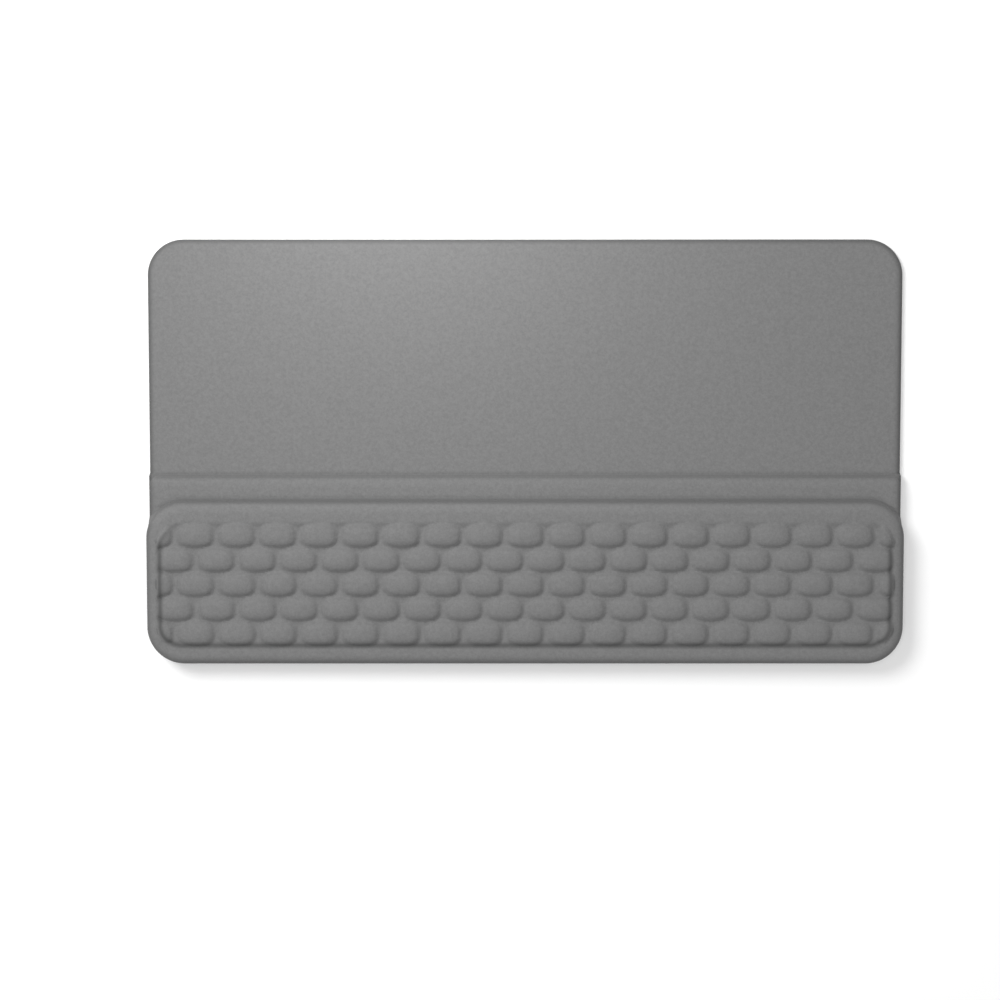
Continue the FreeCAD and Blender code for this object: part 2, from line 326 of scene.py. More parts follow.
    def height(self, x: Array, y: Array) -> Array:
        """Height of the pad's top, without its bumps.

        Args:
            x: points' X.
            y: points' Y.

        Returns:
            Heights over the desk.
        """
        tiers = [self.mat_height(x, y), self.stop_height(x, y), self.rest_height(x, y)]
        return np.maximum.reduce(tiers)

    def half_width(self, y: Array) -> Array:
        """Half the outline's width along its sides, with the notch behind the rest.

        Args:
            y: points' Y.

        Returns:
            Half the width at each of them.
        """
        rest = self.rest
        over = np.clip(y - (rest.far - rest.corner), 0.0, rest.corner)
        arc = rest.half - rest.corner + np.sqrt(rest.corner**2 - over**2)
        return np.where(y < rest.far, np.maximum(arc, self.mat.half), self.mat.half)


class LongEdge(Enum):
    """Which of the pad's long edges a run of points follows."""

    FRONT = "front"
    BACK = "back"


@dataclass(frozen=True)
class PadGrid:
    """Points over the pad's plan: a patch of rows and columns, and rings from it to the outline."""

    shape: PadShape
    ring: float = 0.008
    fine: float = 0.0010
    columns_apart: float = 0.00125
    step_rows: float = 0.0006
    mat_rows: float = 0.0040
    arc_steps: int = 10
    ring_depths: tuple[float, ...] = (7.2, 6.4, 5.6, 4.8, 4.0, 3.3, 2.6, 2.0, 1.45, 1.0, 0.6, 0.3, 0.1, 0.0)

    def side_rows(self) -> Array:
        """Y of the rows between the corner arcs, close together where the shape is fine.

        Returns:
            The rows' Y, from front to back.
        """
        shape = self.shape
        start = shape.rest.near + shape.rest.corner
        end = shape.mat.far - shape.mat.corner
        stretches = [
            (start, -0.0420, self.fine),
            (-0.0420, -0.0100, self.step_rows),
            (-0.0100, 0.0, 0.0015),
            (0.0, end, self.mat_rows),
        ]
        rows = [np.linspace(a, b, max(2, round((b - a) / gap) + 1))[:-1] for a, b, gap in stretches]
        return np.append(np.concatenate(rows), end)

    def corner(self, centre: tuple[float, float], radius: float, start: float) -> Array:
        """Half a corner arc's points, an eighth of a turn from start, its end left out."""
        turn = np.radians(start) + np.linspace(0.0, np.pi / 4, self.arc_steps + 1)[:-1]
        return np.column_stack((centre[0] + radius * np.cos(turn), centre[1] + radius * np.sin(turn)))

    def right_side(self, inset: float) -> Array:
        """The right edge from the front corner's middle to the back corner's middle.

        Args:
            inset: how far the outline is moved in.

        Returns:
            Its plan points.
        """
        rest, mat = self.shape.rest, self.shape.mat
        rows = self.side_rows()
        front = self.corner((rest.half - rest.corner, rest.near + rest.corner), rest.corner - inset, -45)
        back = self.corner((mat.half - mat.corner, mat.far - mat.corner), mat.corner - inset, 0)
        middle = np.column_stack((self.shape.half_width(rows) - inset, rows))
        last = self.corner((mat.half - mat.corner, mat.far - mat.corner), mat.corner - inset, 45)[:1]
        return np.concatenate((front, middle, back[1:], last))

    def long_side(self, edge: LongEdge, inset: float) -> Array:
        """One long edge from left to right, between its corners' middles.

        Args:
            edge: the front or the back edge.
            inset: how far it is moved in.

        Returns:
            Its plan points.
        """
        tier = self.shape.mat if edge is LongEdge.BACK else self.shape.rest
        straight = tier.half - tier.corner
        count = round(2 * (self.shape.rest.half - self.shape.rest.corner) / self.columns_apart) + 1
        along = np.linspace(-straight, straight, count)
        if edge is LongEdge.BACK:
            line = tier.far - inset
            arc = self.corner((straight, tier.far - tier.corner), tier.corner - inset, 45)
        else:
            line = tier.near + inset
            arc = self.corner((straight, -tier.near - tier.corner), tier.corner - inset, 45)
            arc = arc * np.array((1.0, -1.0))
        mirrored = arc * np.array((-1.0, 1.0))
        middle = np.column_stack((along, np.full(count, line)))
        return np.concatenate((mirrored, middle, arc[::-1]))

    def patch(self, inset: float) -> Array:
        """A grid of plan points, rows by columns, whose border is the outline moved in.

        Args:
            inset: how far the outline is moved in.

        Returns:
            The points, rows by columns by two.
        """
        right = self.right_side(inset)
        left = right * np.array((-1.0, 1.0))
        near = self.long_side(LongEdge.FRONT, inset)
        far = self.long_side(LongEdge.BACK, inset)
        u = share_along(near)[None, :, None]
        v = share_along(right)[:, None, None]
        edges = (1 - v) * near[None] + v * far[None] + (1 - u) * left[:, None] + u * right[:, None]
        corners = (1 - u) * (1 - v) * near[0] + u * (1 - v) * near[-1]
        corners = corners + (1 - u) * v * far[0] + u * v * far[-1]
        return edges - corners

    def border(self, inset: float) -> Array:
        """The outline moved in, once round anticlockwise from the front left corner's middle.

        Args:
            inset: how far the outline is moved in.

        Returns:
            Its plan points, the first one not repeated.
        """
        right = self.right_side(inset)
        left = right * np.array((-1.0, 1.0))
        near = self.long_side(LongEdge.FRONT, inset)
        far = self.long_side(LongEdge.BACK, inset)
        return np.concatenate((near[:-1], right[:-1], far[::-1][:-1], left[::-1][:-1]))


def share_along(line: Array) -> Array:
    """How far each point of a line lies along it, from 0 to 1.

    Args:
        line: its points in order.

    Returns:
        Each point's share.
    """
    steps = np.hypot(*np.diff(line, axis=0).T)
    total = np.concatenate(([0.0], np.cumsum(steps)))
    return total / total[-1]


def border_indices(rows: int, columns: int) -> list[int]:
    """Point numbers round a grid's border, in the order that PadGrid.border has.

    Args:
        rows: the grid's rows.
        columns: the grid's columns.

    Returns:
        The point numbers.
    """
    front = list(range(columns))
    right = [r * columns + columns - 1 for r in range(rows)]
    back = [(rows - 1) * columns + c for c in range(columns)][::-1]
    left = [r * columns for r in range(rows)][::-1]
    return front[:-1] + right[:-1] + back[:-1] + left[:-1]


def face_mesh(name: str, points: Array, faces: list[tuple[int, ...]]) -> bpy.types.Mesh:
    """A smooth-shaded mesh from points and faces.

    Args:
        name: the mesh's name.
        points: its points.
        faces: point numbers of each face.

    Returns:
        The mesh.
    """
    mesh = bpy.data.meshes.new(name)
    mesh.from_pydata(points.tolist(), [], faces)
    mesh.validate()
    mesh.shade_smooth()
    mesh.update()
    return mesh


def grid_faces(rows: int, columns: int, first: int = 0, flip: bool = False) -> list[tuple[int, ...]]:
    """Four-sided faces of a grid of points, facing up unless flipped.

    Args:
        rows: the grid's rows.
        columns: the grid's columns.
        first: number of its first point.
        flip: whether they face down.

    Returns:
        Point numbers of each face.
    """
    faces = []
    for r in range(rows - 1):
        for c in range(columns - 1):
            a = first + r * columns + c
            quad = (a, a + 1, a + 1 + columns, a + columns)
            faces.append(quad[::-1] if flip else quad)
    return faces


def band_faces(inner: list[int], outer: list[int]) -> list[tuple[int, ...]]:
    """Faces between two closed loops, the inner one first, facing up when outer lies outside.

    Args:
        inner: point numbers of the inner loop.
        outer: point numbers of the outer loop.

    Returns:
        Point numbers of each face.
    """
    count = len(inner)
    return [
        (inner[i], outer[i], outer[(i + 1) % count], inner[(i + 1) % count]) for i in range(count)
    ]


# ---------------------------------------------------------------- finishes


@dataclass(frozen=True)
class BrushedKnit:
    """Brushed polyester stretch knit, pressed on foam.

    The eye gets a matt mid grey with a faint mottle from the brushed nap, a grain as fine as the stitches,
    and darker lines in the creases, round the bump field and along the edge: painted shade, where a pressed
    nap is also a little darker.
    """

    colour: str = "#717171"
    dark: str = "#686868"
    # Painted shade for the creases, the channel and the edge, with the pressed nap's own darkening.
    pressed_nap_and_shade: str = "#454545"
    # Stitches of about 0.5 mm are too fine to show, so their grain is drawn coarser.
    stitch_mm: float = 0.9
    nap_mm: float = 2.2

    def material(self) -> bpy.types.Material:
        """Build the material.

        Returns:
            The material.
        """
        mat = bpy.data.materials.new("brushed_polyester_knit")
        mat.use_nodes = True
        tree = mat.node_tree
        tree.nodes.clear()
        place = add_node(tree, "ShaderNodeTexCoord").outputs["Object"]
        nap = add_node(
            tree,
            "ShaderNodeTexNoise",
            {"Vector": place, "Scale": 1000 / self.nap_mm, "Detail": 3.0, "Roughness": 0.6},
        )
        stitch = add_node(
            tree, "ShaderNodeTexNoise", {"Vector": place, "Scale": 1000 / self.stitch_mm, "Detail": 2.0}
        )
        both = add_node(
            tree, "ShaderNodeMath", {0: nap.outputs["Fac"], 1: stitch.outputs["Fac"]}, operation="ADD"
        )
        spread = add_node(
            tree,
            "ShaderNodeMapRange",
            {"Value": both.outputs[0], "From Min": 0.75, "From Max": 1.25, "To Min": 0.0, "To Max": 1.0},
        )
        tint = add_node(
            tree,
            "ShaderNodeMix",
            {0: spread.outputs[0], 6: linear(self.dark), 7: linear(self.colour)},
            data_type="RGBA",
        )
        # Painted shade: the cover is mixed towards the dark colour in its creases, channel and edge.
        lines = add_node(tree, "ShaderNodeAttribute", attribute_name="pressed_nap_and_shade")
        pressed_and_shaded = add_node(
            tree,
            "ShaderNodeMix",
            {0: lines.outputs["Fac"], 6: tint.outputs[2], 7: linear(self.pressed_nap_and_shade)},
            data_type="RGBA",
        )
        bump = add_node(
            tree,
            "ShaderNodeBump",
            {"Height": both.outputs[0], "Strength": 0.35, "Distance": 0.0003},
        )
        shader = add_node(
            tree,
            "ShaderNodeBsdfPrincipled",
            {
                "Base Color": pressed_and_shaded.outputs[2],
                "Roughness": 0.95,
                "IOR": 1.45,
                "Specular IOR Level": 0.2,
                "Sheen Weight": 0.15,
                "Sheen Roughness": 0.6,
                "Normal": bump.outputs[0],
            },
        )
        add_node(tree, "ShaderNodeOutputMaterial", {"Surface": shader.outputs[0]})
        return mat


# ---------------------------------------------------------------- the fabric cover


@dataclass
class BumpRule:
    """The five staggered rows of oblong domes, raised by a node tree that follows their rule."""

    pitch: float = 0.02415
    row_pitch: float = 0.01443
    middle_row: float = -0.07695
    half_length: float = 0.0107
    half_depth: float = 0.0071
    rise: float = 0.0039
    squareness: float = 2.8
    crown: float = 2.2
    steepness: float = 0.50
    rows_out: float = 2.0
    least: float = 0.94
    most: float = 1.06
    seed: int = 4

    def tree(self, finish: bpy.types.Material) -> tuple[bpy.types.NodeTree, dict[str, object]]:
        """Build the node tree.

        Args:
            finish: the material that it sets on the cover.

        Returns:
            The tree, and its inputs' values by socket identifier.
        """
        tree = bpy.data.node_groups.new("raise_bumps", "GeometryNodeTree")
        sockets = tree.interface
        sockets.new_socket("Geometry", in_out="OUTPUT", socket_type="NodeSocketGeometry")
        sockets.new_socket("Geometry", in_out="INPUT", socket_type="NodeSocketGeometry")
        sizes = {
            "Pitch": self.pitch,
            "Row pitch": self.row_pitch,
            "Middle row": self.middle_row,
            "Half length": self.half_length,
            "Half depth": self.half_depth,
            "Rise": self.rise,
            "Squareness": self.squareness,
            "Crown": self.crown,
            "Steepness": self.steepness,
        }
        values: dict[str, object] = {}
        for name, size in sizes.items():
            socket = sockets.new_socket(name, in_out="INPUT", socket_type="NodeSocketFloat")
            values[socket.identifier] = size
        socket = sockets.new_socket("Finish", in_out="INPUT", socket_type="NodeSocketMaterial")
        values[socket.identifier] = finish
        given = add_node(tree, "NodeGroupInput").outputs
        position = add_node(tree, "GeometryNodeInputPosition").outputs[0]
        place = add_node(tree, "ShaderNodeSeparateXYZ", {0: position})
        steps = [
            ("beyond", "SUBTRACT", "y", "Middle row"),
            ("row share", "DIVIDE", "beyond", "Row pitch"),
            ("nearest row", "ROUND", "row share"),
            ("row capped", "MINIMUM", "nearest row", self.rows_out),
            ("row", "MAXIMUM", "row capped", -self.rows_out),
            ("row count", "ABSOLUTE", "row"),
            ("odd", "MODULO", "row count", 2.0),
            ("half pitch", "MULTIPLY", "Pitch", 0.5),
            ("stagger", "MULTIPLY", "odd", "half pitch"),
            ("along", "SUBTRACT", "x", "stagger"),
            ("column share", "DIVIDE", "along", "Pitch"),
            ("column", "ROUND", "column share"),
            ("column x", "MULTIPLY", "column", "Pitch"),
            ("off x", "SUBTRACT", "along", "column x"),
            ("dx", "ABSOLUTE", "off x"),
            ("row y", "MULTIPLY", "row", "Row pitch"),
            ("off y", "SUBTRACT", "beyond", "row y"),
            ("dy", "ABSOLUTE", "off y"),
            ("share x", "DIVIDE", "dx", "Half length"),
            ("share y", "DIVIDE", "dy", "Half depth"),
            ("power x", "POWER", "share x", "Squareness"),
            ("power y", "POWER", "share y", "Squareness"),
            ("power sum", "ADD", "power x", "power y"),
            ("root", "DIVIDE", 1.0, "Squareness"),
            ("out", "POWER", "power sum", "root"),
            ("crowned", "POWER", "out", "Crown"),
            ("crown capped", "MINIMUM", "crowned", 1.0),
            ("fall", "SUBTRACT", 1.0, "crown capped"),
            ("dome", "POWER", "fall", "Steepness"),
            ("row number", "MULTIPLY", "row", 100.0),
            ("bump number", "ADD", "row number", "column"),
        ]
        found: dict[str, bpy.types.NodeSocket] = {name: given[name] for name in sizes}
        found |= {"x": place.outputs["X"], "y": place.outputs["Y"]}
        for name, operation, *terms in steps:
            links = {i: found[term] if isinstance(term, str) else term for i, term in enumerate(terms)}
            found[name] = add_node(tree, "ShaderNodeMath", links, operation=operation).outputs[0]
        own = add_node(
            tree,
            "FunctionNodeRandomValue",
            {"Min": self.least, "Max": self.most, "ID": found["bump number"], "Seed": self.seed},
            data_type="FLOAT",
        )
        own_rise = next(o for o in own.outputs if o.enabled)
        mask = add_node(tree, "GeometryNodeInputNamedAttribute", {"Name": "bump_field"}, data_type="FLOAT")
        lift = given["Rise"]
        for factor in (found["dome"], mask.outputs["Attribute"], own_rise):
            lift = add_node(tree, "ShaderNodeMath", {0: lift, 1: factor}, operation="MULTIPLY").outputs[0]
        offset = add_node(tree, "ShaderNodeCombineXYZ", {"Z": lift})
        moved = add_node(
            tree, "GeometryNodeSetPosition", {"Geometry": given["Geometry"], "Offset": offset.outputs[0]}
        )
        real = add_node(tree, "GeometryNodeRealizeInstances", {"Geometry": moved.outputs[0]})
        dressed = add_node(
            tree, "GeometryNodeSetMaterial", {"Geometry": real.outputs[0], "Material": given["Finish"]}
        )
        add_node(tree, "NodeGroupOutput", {0: dressed.outputs[0]})
        return tree, values


def apply_nodes(piece: bpy.types.Object, tree: bpy.types.NodeTree, values: dict[str, object]) -> None:
    """Run a node tree on a piece once and keep the result as its plain mesh.

    Args:
        piece: the object it runs on.
        tree: the node tree.
        values: the tree's inputs by socket identifier.
    """
    modifier = piece.modifiers.new("shape", "NODES")
    modifier.node_group = tree
    for identifier, value in values.items():
        modifier[identifier] = value
    graph = bpy.context.evaluated_depsgraph_get()
    made = bpy.data.meshes.new_from_object(
        piece.evaluated_get(graph), preserve_all_data_layers=True, depsgraph=graph
    )
    piece.modifiers.clear()
    old = piece.data
    piece.data = made
    bpy.data.meshes.remove(old)
    made.name = piece.name


@dataclass
class FabricCover:
    """The one-piece cover: a shell with its bumps, side walls and turned hem."""

    grid: PadGrid
    bumps: BumpRule
    thick: float = 0.0008
    hem: float = 0.0012
    wall_steps: int = 6
    coarse: int = 2
    lean: float = 0.0005
    wall_drop: float = 0.0012
    shoulder: float = 0.003
    mask_from: float = -0.0010
    mask_to: float = 0.0012

    def build(self) -> bpy.types.Object:
        """Make the cover's mesh.

        Returns:
            The cover, before its bumps are raised.
        """
        shape, grid = self.grid.shape, self.grid
        patch = grid.patch(grid.ring)
        rows, columns = patch.shape[:2]
        flat = patch.reshape(-1, 2)
        points = [np.column_stack((flat, shape.height(*flat.T)))]
        faces = grid_faces(rows, columns)
        loop = border_indices(rows, columns)
        inner, outline = grid.border(grid.ring), grid.border(0.0)
        total = len(flat)
        for depth in grid.ring_depths:
            share = 1.0 - depth * MM / grid.ring
            plan = inner + share * (outline - inner)
            points.append(np.column_stack((plan, shape.height(*plan.T))))
            following = list(range(total, total + len(plan)))
            faces += band_faces(loop, following)
            loop = following
            total += len(plan)
        edge = points[-1]
        inward = (inner - outline) / grid.ring
        for step in range(1, self.wall_steps + 1):
            share = step / self.wall_steps
            height = edge[:, 2] + share * (self.hem - edge[:, 2])
            lean = self.lean * share**2
            points.append(np.column_stack((outline + lean * inward, height)))
            following = list(range(total, total + len(outline)))
            faces += band_faces(loop, following)
            loop = following
            total += len(outline)
        # The outer wall leans in at its foot, so the wall is thinner there than the cloth.
        lining = [(self.thick, None), (self.thick, self.wall_drop), (self.shoulder, 0.0), (grid.ring, 0.0)]
        for depth, under in lining:
            plan = outline + depth * inward
            if under is None:
                height = np.full(len(plan), self.hem)
            else:
                height = shape.height(*plan.T) - self.thick - under
            points.append(np.column_stack((plan, height)))
            following = list(range(total, total + len(plan)))
            faces += band_faces(loop, following)
            loop = following
            total += len(plan)
        points.append(self.ceiling(patch, loop, total, faces))
        mesh = face_mesh("fabric_cover", np.concatenate(points), faces)
        plan = np.concatenate(points)[:, :2]
        mask = smooth(self.mask_from, self.mask_to, shape.field_inside(*plan.T)).astype(np.float32)
        layer = mesh.attributes.new("bump_field", "FLOAT", "POINT")
        layer.data.foreach_set("value", mask)
        # The share of painted shade in the creases, the channel and along the edge, which the fabric reads.
        layer = mesh.attributes.new("pressed_nap_and_shade", "FLOAT", "POINT")
        layer.data.foreach_set("value", shape.pressed_nap_and_shade(*plan.T).astype(np.float32))
        cover = bpy.data.objects.new("fabric_cover_knit", mesh)
        bpy.context.collection.objects.link(cover)
        return cover

    def ceiling(self, patch: Array, loop: list[int], first: int, faces: list[tuple[int, ...]]) -> Array:
        """The cover's inside face under its top: a coarser grid stitched to a fine border loop.

        Args:
            patch: plan points of the fine grid over it.
            loop: point numbers of the fine border, as border_indices orders them.
            first: number of the next free point.
            faces: the list that its faces are added to.

        Returns:
            The coarse grid's points.
        """
        rows, columns = patch.shape[:2]
        some_rows = sorted({*range(self.coarse, rows - self.coarse, self.coarse)})
        some_columns = sorted({*range(self.coarse, columns - self.coarse, self.coarse)})
        inside = patch[np.ix_(some_rows, some_columns)]
        flat = inside.reshape(-1, 2)
        height = self.grid.shape.height(*flat.T) - self.thick
        n_rows, n_columns = inside.shape[:2]
        faces += grid_faces(n_rows, n_columns, first, flip=True)
        fine = {index: number for index, number in zip(border_indices(rows, columns), loop)}

        def at(r: int, c: int) -> int:
            """Point number of a fine border point."""
            return fine[r * columns + c]

        def stitch(border: list[int], near: list[int]) -> None:
            """One many-sided face from a run of the border to the coarse points beside it."""
            faces.append(tuple(border[::-1] + near))

        def coarse_at(i: int, j: int) -> int:
            """Point number of a coarse point."""
            return first + i * n_columns + j

        for j in range(n_columns - 1):
            run = range(some_columns[j], some_columns[j + 1] + 1)
            stitch([at(0, c) for c in run], [coarse_at(0, j), coarse_at(0, j + 1)])
            last = [coarse_at(n_rows - 1, j + 1), coarse_at(n_rows - 1, j)]
            stitch([at(rows - 1, c) for c in run][::-1], last)
        for i in range(n_rows - 1):
            run = range(some_rows[i], some_rows[i + 1] + 1)
            last = [coarse_at(i, n_columns - 1), coarse_at(i + 1, n_columns - 1)]
            stitch([at(r, columns - 1) for r in run], last)
            stitch([at(r, 0) for r in run][::-1], [coarse_at(i + 1, 0), coarse_at(i, 0)])
        low_r, high_r, low_c, high_c = some_rows[0], some_rows[-1], some_columns[0], some_columns[-1]
        front_left = [at(r, 0) for r in range(low_r, -1, -1)] + [at(0, c) for c in range(1, low_c + 1)]
        stitch(front_left, [coarse_at(0, 0)])
        front_right = [at(0, c) for c in range(high_c, columns)]
        front_right += [at(r, columns - 1) for r in range(1, low_r + 1)]
        stitch(front_right, [coarse_at(0, n_columns - 1)])
        back_right = [at(r, columns - 1) for r in range(high_r, rows)]
        back_right += [at(rows - 1, c) for c in range(columns - 2, high_c - 1, -1)]
        stitch(back_right, [coarse_at(n_rows - 1, n_columns - 1)])
        back_left = [at(rows - 1, c) for c in range(low_c, -1, -1)]
        back_left += [at(r, 0) for r in range(rows - 2, high_r - 1, -1)]
        stitch(back_left, [coarse_at(n_rows - 1, 0)])
        return np.column_stack((flat, height))

    def dress(self, cover: bpy.types.Object, finish: bpy.types.Material) -> None:
        """Args:
            cover: the cover.
            finish: its fabric.
        """
        apply_nodes(cover, *self.bumps.tree(finish))
        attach(cover, "root")
        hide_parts("fabric_cover")


# ---------------------------------------------------------------- base and foam


@dataclass(frozen=True)
class PlainFinish:
    """A finish of one tone with a fine procedural grain, for the layers under the cover.

    Foam shows its cells as a pale and dark speckle with pits, rubber a dull black with a faint
    moulded grain, and hot-melt film a milky gloss.
    """

    name: str
    light: str
    dark: str
    grain_mm: float
    relief_mm: float
    roughness: float
    ior: float

    def material(self) -> bpy.types.Material:
        """Build the material.

        Returns:
            The material.
        """
        mat = bpy.data.materials.new(self.name)
        mat.use_nodes = True
        tree = mat.node_tree
        tree.nodes.clear()
        place = add_node(tree, "ShaderNodeTexCoord").outputs["Object"]
        cells = add_node(tree, "ShaderNodeTexVoronoi", {"Vector": place, "Scale": 1000 / self.grain_mm})
        cloud = add_node(
            tree, "ShaderNodeTexNoise", {"Vector": place, "Scale": 250 / self.grain_mm, "Detail": 3.0}
        )
        blend = add_node(
            tree,
            "ShaderNodeMath",
            {0: cells.outputs["Distance"], 1: cloud.outputs["Fac"]},
            operation="MULTIPLY",
        )
        tint = add_node(
            tree,
            "ShaderNodeMix",
            {0: blend.outputs[0], 6: linear(self.light), 7: linear(self.dark)},
            data_type="RGBA",
        )
        bump = add_node(
            tree,
            "ShaderNodeBump",
            {"Height": cells.outputs["Distance"], "Strength": 0.6, "Distance": self.relief_mm * MM},
        )
        shader = add_node(
            tree,
            "ShaderNodeBsdfPrincipled",
            {
                "Base Color": tint.outputs[2],
                "Roughness": self.roughness,
                "IOR": self.ior,
                "Normal": bump.outputs[0],
            },
        )
        add_node(tree, "ShaderNodeOutputMaterial", {"Surface": shader.outputs[0]})
        return mat


SLOW_FOAM = PlainFinish("slow_recovery_polyurethane_foam", "#d9d2c0", "#b8ae97", 0.6, 0.15, 0.95, 1.45)
DENSE_FOAM = PlainFinish("closed_cell_foam_sheet", "#3c3c3b", "#242423", 0.4, 0.08, 0.85, 1.45)
HOT_MELT = PlainFinish("hot_melt_film", "#dcdcd4", "#c6c6bd", 1.5, 0.05, 0.35, 1.48)
BASE_RUBBER = PlainFinish("moulded_grip_rubber", "#232324", "#161617", 0.5, 0.06, 0.7, 1.52)


@dataclass
class GripBase:
    """The rubber sheet under the pad, with a field of low round grip dots on its underside."""

    grid: PadGrid
    top: float = 0.0012
    sheet_under: float = 0.0004
    inset: float = 0.0004
    dot_gap: float = 0.0055
    dot_radius: float = 0.0011
    dot_margin: float = 0.0040
    below: float = 0.01

    def build(self, finish: bpy.types.Material) -> bpy.types.Object:
        """Make the sheet, add its dots by a node tree and join them.

        Args:
            finish: the rubber.

        Returns:
            The base.
        """
        sheet = self.sheet()
        dots = self.dots(finish)
        both = bmesh.new()
        both.from_mesh(sheet.data)
        both.from_mesh(dots.data)
        both.to_mesh(sheet.data)
        both.free()
        bpy.data.objects.remove(dots)
        return sheet

    def sheet(self) -> bpy.types.Object:
        """The flat sheet, its edges a little rounded.

        Returns:
            The sheet.
        """
        layers = [(0.0004, self.sheet_under), (0.0, self.sheet_under + 0.0003), (0.0, self.top - 0.0001)]
        layers.append((0.0002, self.top))
        loops = [self.grid.border(self.inset + more) for more, _ in layers]
        count = len(loops[0])
        points = [np.column_stack((loop, np.full(count, z))) for loop, (_, z) in zip(loops, layers)]
        faces: list[tuple[int, ...]] = [tuple(range(count))[::-1]]
        for i in range(len(layers) - 1):
            low = [i * count + k for k in range(count)]
            high = [k + count for k in low]
            faces += band_faces(high, low)
        faces.append(tuple((len(layers) - 1) * count + k for k in range(count)))
        mesh = face_mesh("grip_base", np.concatenate(points), faces)
        sheet = bpy.data.objects.new("grip_base_sheet", mesh)
        bpy.context.collection.objects.link(sheet)
        return sheet

    def dots(self, finish: bpy.types.Material) -> bpy.types.Object:
        """The grip dots, instanced inside the sheet's outline by a node tree.

        Args:
            finish: the rubber.

        Returns:
            The dots as one piece.
        """
        loop = self.grid.border(self.dot_margin)
        plan = np.column_stack((loop, np.full(len(loop), self.sheet_under)))
        mesh = face_mesh("dot_plan", plan, [tuple(range(len(loop)))])
        dots = bpy.data.objects.new("grip_dots", mesh)
        bpy.context.collection.objects.link(dots)
        apply_nodes(dots, *self.tree(finish))
        return dots

    def tree(self, finish: bpy.types.Material) -> tuple[bpy.types.NodeTree, dict[str, object]]:
        """Build the node tree that sets a dome at each point of a grid that lies in the outline.

        Args:
            finish: the material that it sets on the dots.

        Returns:
            The tree, and its inputs' values by socket identifier.
        """
        tree = bpy.data.node_groups.new("grip_dots", "GeometryNodeTree")
        sockets = tree.interface
        sockets.new_socket("Geometry", in_out="OUTPUT", socket_type="NodeSocketGeometry")
        sockets.new_socket("Geometry", in_out="INPUT", socket_type="NodeSocketGeometry")
        low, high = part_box("grip_base")
        across = round((high[0] - low[0]) / self.dot_gap)
        deep = round((high[1] - low[1]) / self.dot_gap)
        sizes = {
            "Width": ("NodeSocketFloat", across * self.dot_gap),
            "Depth": ("NodeSocketFloat", deep * self.dot_gap),
            "Columns": ("NodeSocketInt", across + 1),
            "Rows": ("NodeSocketInt", deep + 1),
            "Dot radius": ("NodeSocketFloat", self.dot_radius),
            "Dot height": ("NodeSocketFloat", self.sheet_under),
            "Finish": ("NodeSocketMaterial", finish),
        }
        values: dict[str, object] = {}
        for name, (kind, value) in sizes.items():
            values[sockets.new_socket(name, in_out="INPUT", socket_type=kind).identifier] = value
        given = add_node(tree, "NodeGroupInput").outputs
        links = {"Size X": given["Width"], "Size Y": given["Depth"]}
        links |= {"Vertices X": given["Columns"], "Vertices Y": given["Rows"]}
        lattice = add_node(tree, "GeometryNodeMeshGrid", links)
        drop = add_node(tree, "ShaderNodeCombineXYZ", {"Z": -self.below})
        lowered = add_node(
            tree, "GeometryNodeSetPosition", {"Geometry": lattice.outputs[0], "Offset": drop.outputs[0]}
        )
        ray = add_node(
            tree,
            "GeometryNodeRaycast",
            {"Target Geometry": given["Geometry"], "Ray Direction": (0.0, 0.0, 1.0), "Ray Length": 0.1},
        )
        ball = add_node(
            tree, "GeometryNodeMeshUVSphere", {"Segments": 8, "Rings": 4, "Radius": given["Dot radius"]}
        )
        flat = add_node(
            tree, "ShaderNodeMath", {0: given["Dot height"], 1: given["Dot radius"]}, operation="DIVIDE"
        )
        squash = add_node(tree, "ShaderNodeCombineXYZ", {"X": 1.0, "Y": 1.0, "Z": flat.outputs[0]})
        dome = add_node(
            tree, "GeometryNodeTransform", {"Geometry": ball.outputs[0], "Scale": squash.outputs[0]}
        )
        lift = add_node(tree, "ShaderNodeMath", {0: given["Dot height"], 1: self.below}, operation="ADD")
        raised = add_node(tree, "ShaderNodeCombineXYZ", {"Z": lift.outputs[0]})
        placed = add_node(
            tree, "GeometryNodeTransform", {"Geometry": dome.outputs[0], "Translation": raised.outputs[0]}
        )
        instances = add_node(
            tree,
            "GeometryNodeInstanceOnPoints",
            {"Points": lowered.outputs[0], "Selection": ray.outputs["Is Hit"], "Instance": placed.outputs[0]},
        )
        real = add_node(tree, "GeometryNodeRealizeInstances", {"Geometry": instances.outputs[0]})
        round_dots = add_node(tree, "GeometryNodeSetShadeSmooth", {0: real.outputs[0]})
        dressed = add_node(
            tree, "GeometryNodeSetMaterial", {"Geometry": round_dots.outputs[0], "Material": given["Finish"]}
        )
        add_node(tree, "NodeGroupOutput", {0: dressed.outputs[0]})
        return tree, values

    def dress(self, base: bpy.types.Object, finish: bpy.types.Material) -> None:
        """Args:
            base: the base.
            finish: its rubber.
        """
        base.data.materials.clear()
        base.data.materials.append(finish)
        for face in base.data.polygons:
            face.material_index = 0
        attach(base, "root")
        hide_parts("grip_base")


@dataclass(frozen=True)
class InnerLayers:
    """The solids sealed under the cover: they stay as they are and get their finishes."""

    finishes: tuple[tuple[str, PlainFinish], ...] = (
        ("wrist_foam", SLOW_FOAM),
        ("stop_foam", SLOW_FOAM),
        ("mat_foam", DENSE_FOAM),
        ("glue_sheet", HOT_MELT),
    )

    def dress(self) -> None:
        """Set each layer's material."""
        made: dict[str, bpy.types.Material] = {}
        for node, finish in self.finishes:
            if finish.name not in made:
                made[finish.name] = finish.material()
            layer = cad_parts[node]
            for slot in layer.material_slots:
                slot.material = made[finish.name]
            LOG.info("%s is %s", node, finish.name)


# ---------------------------------------------------------------- studio


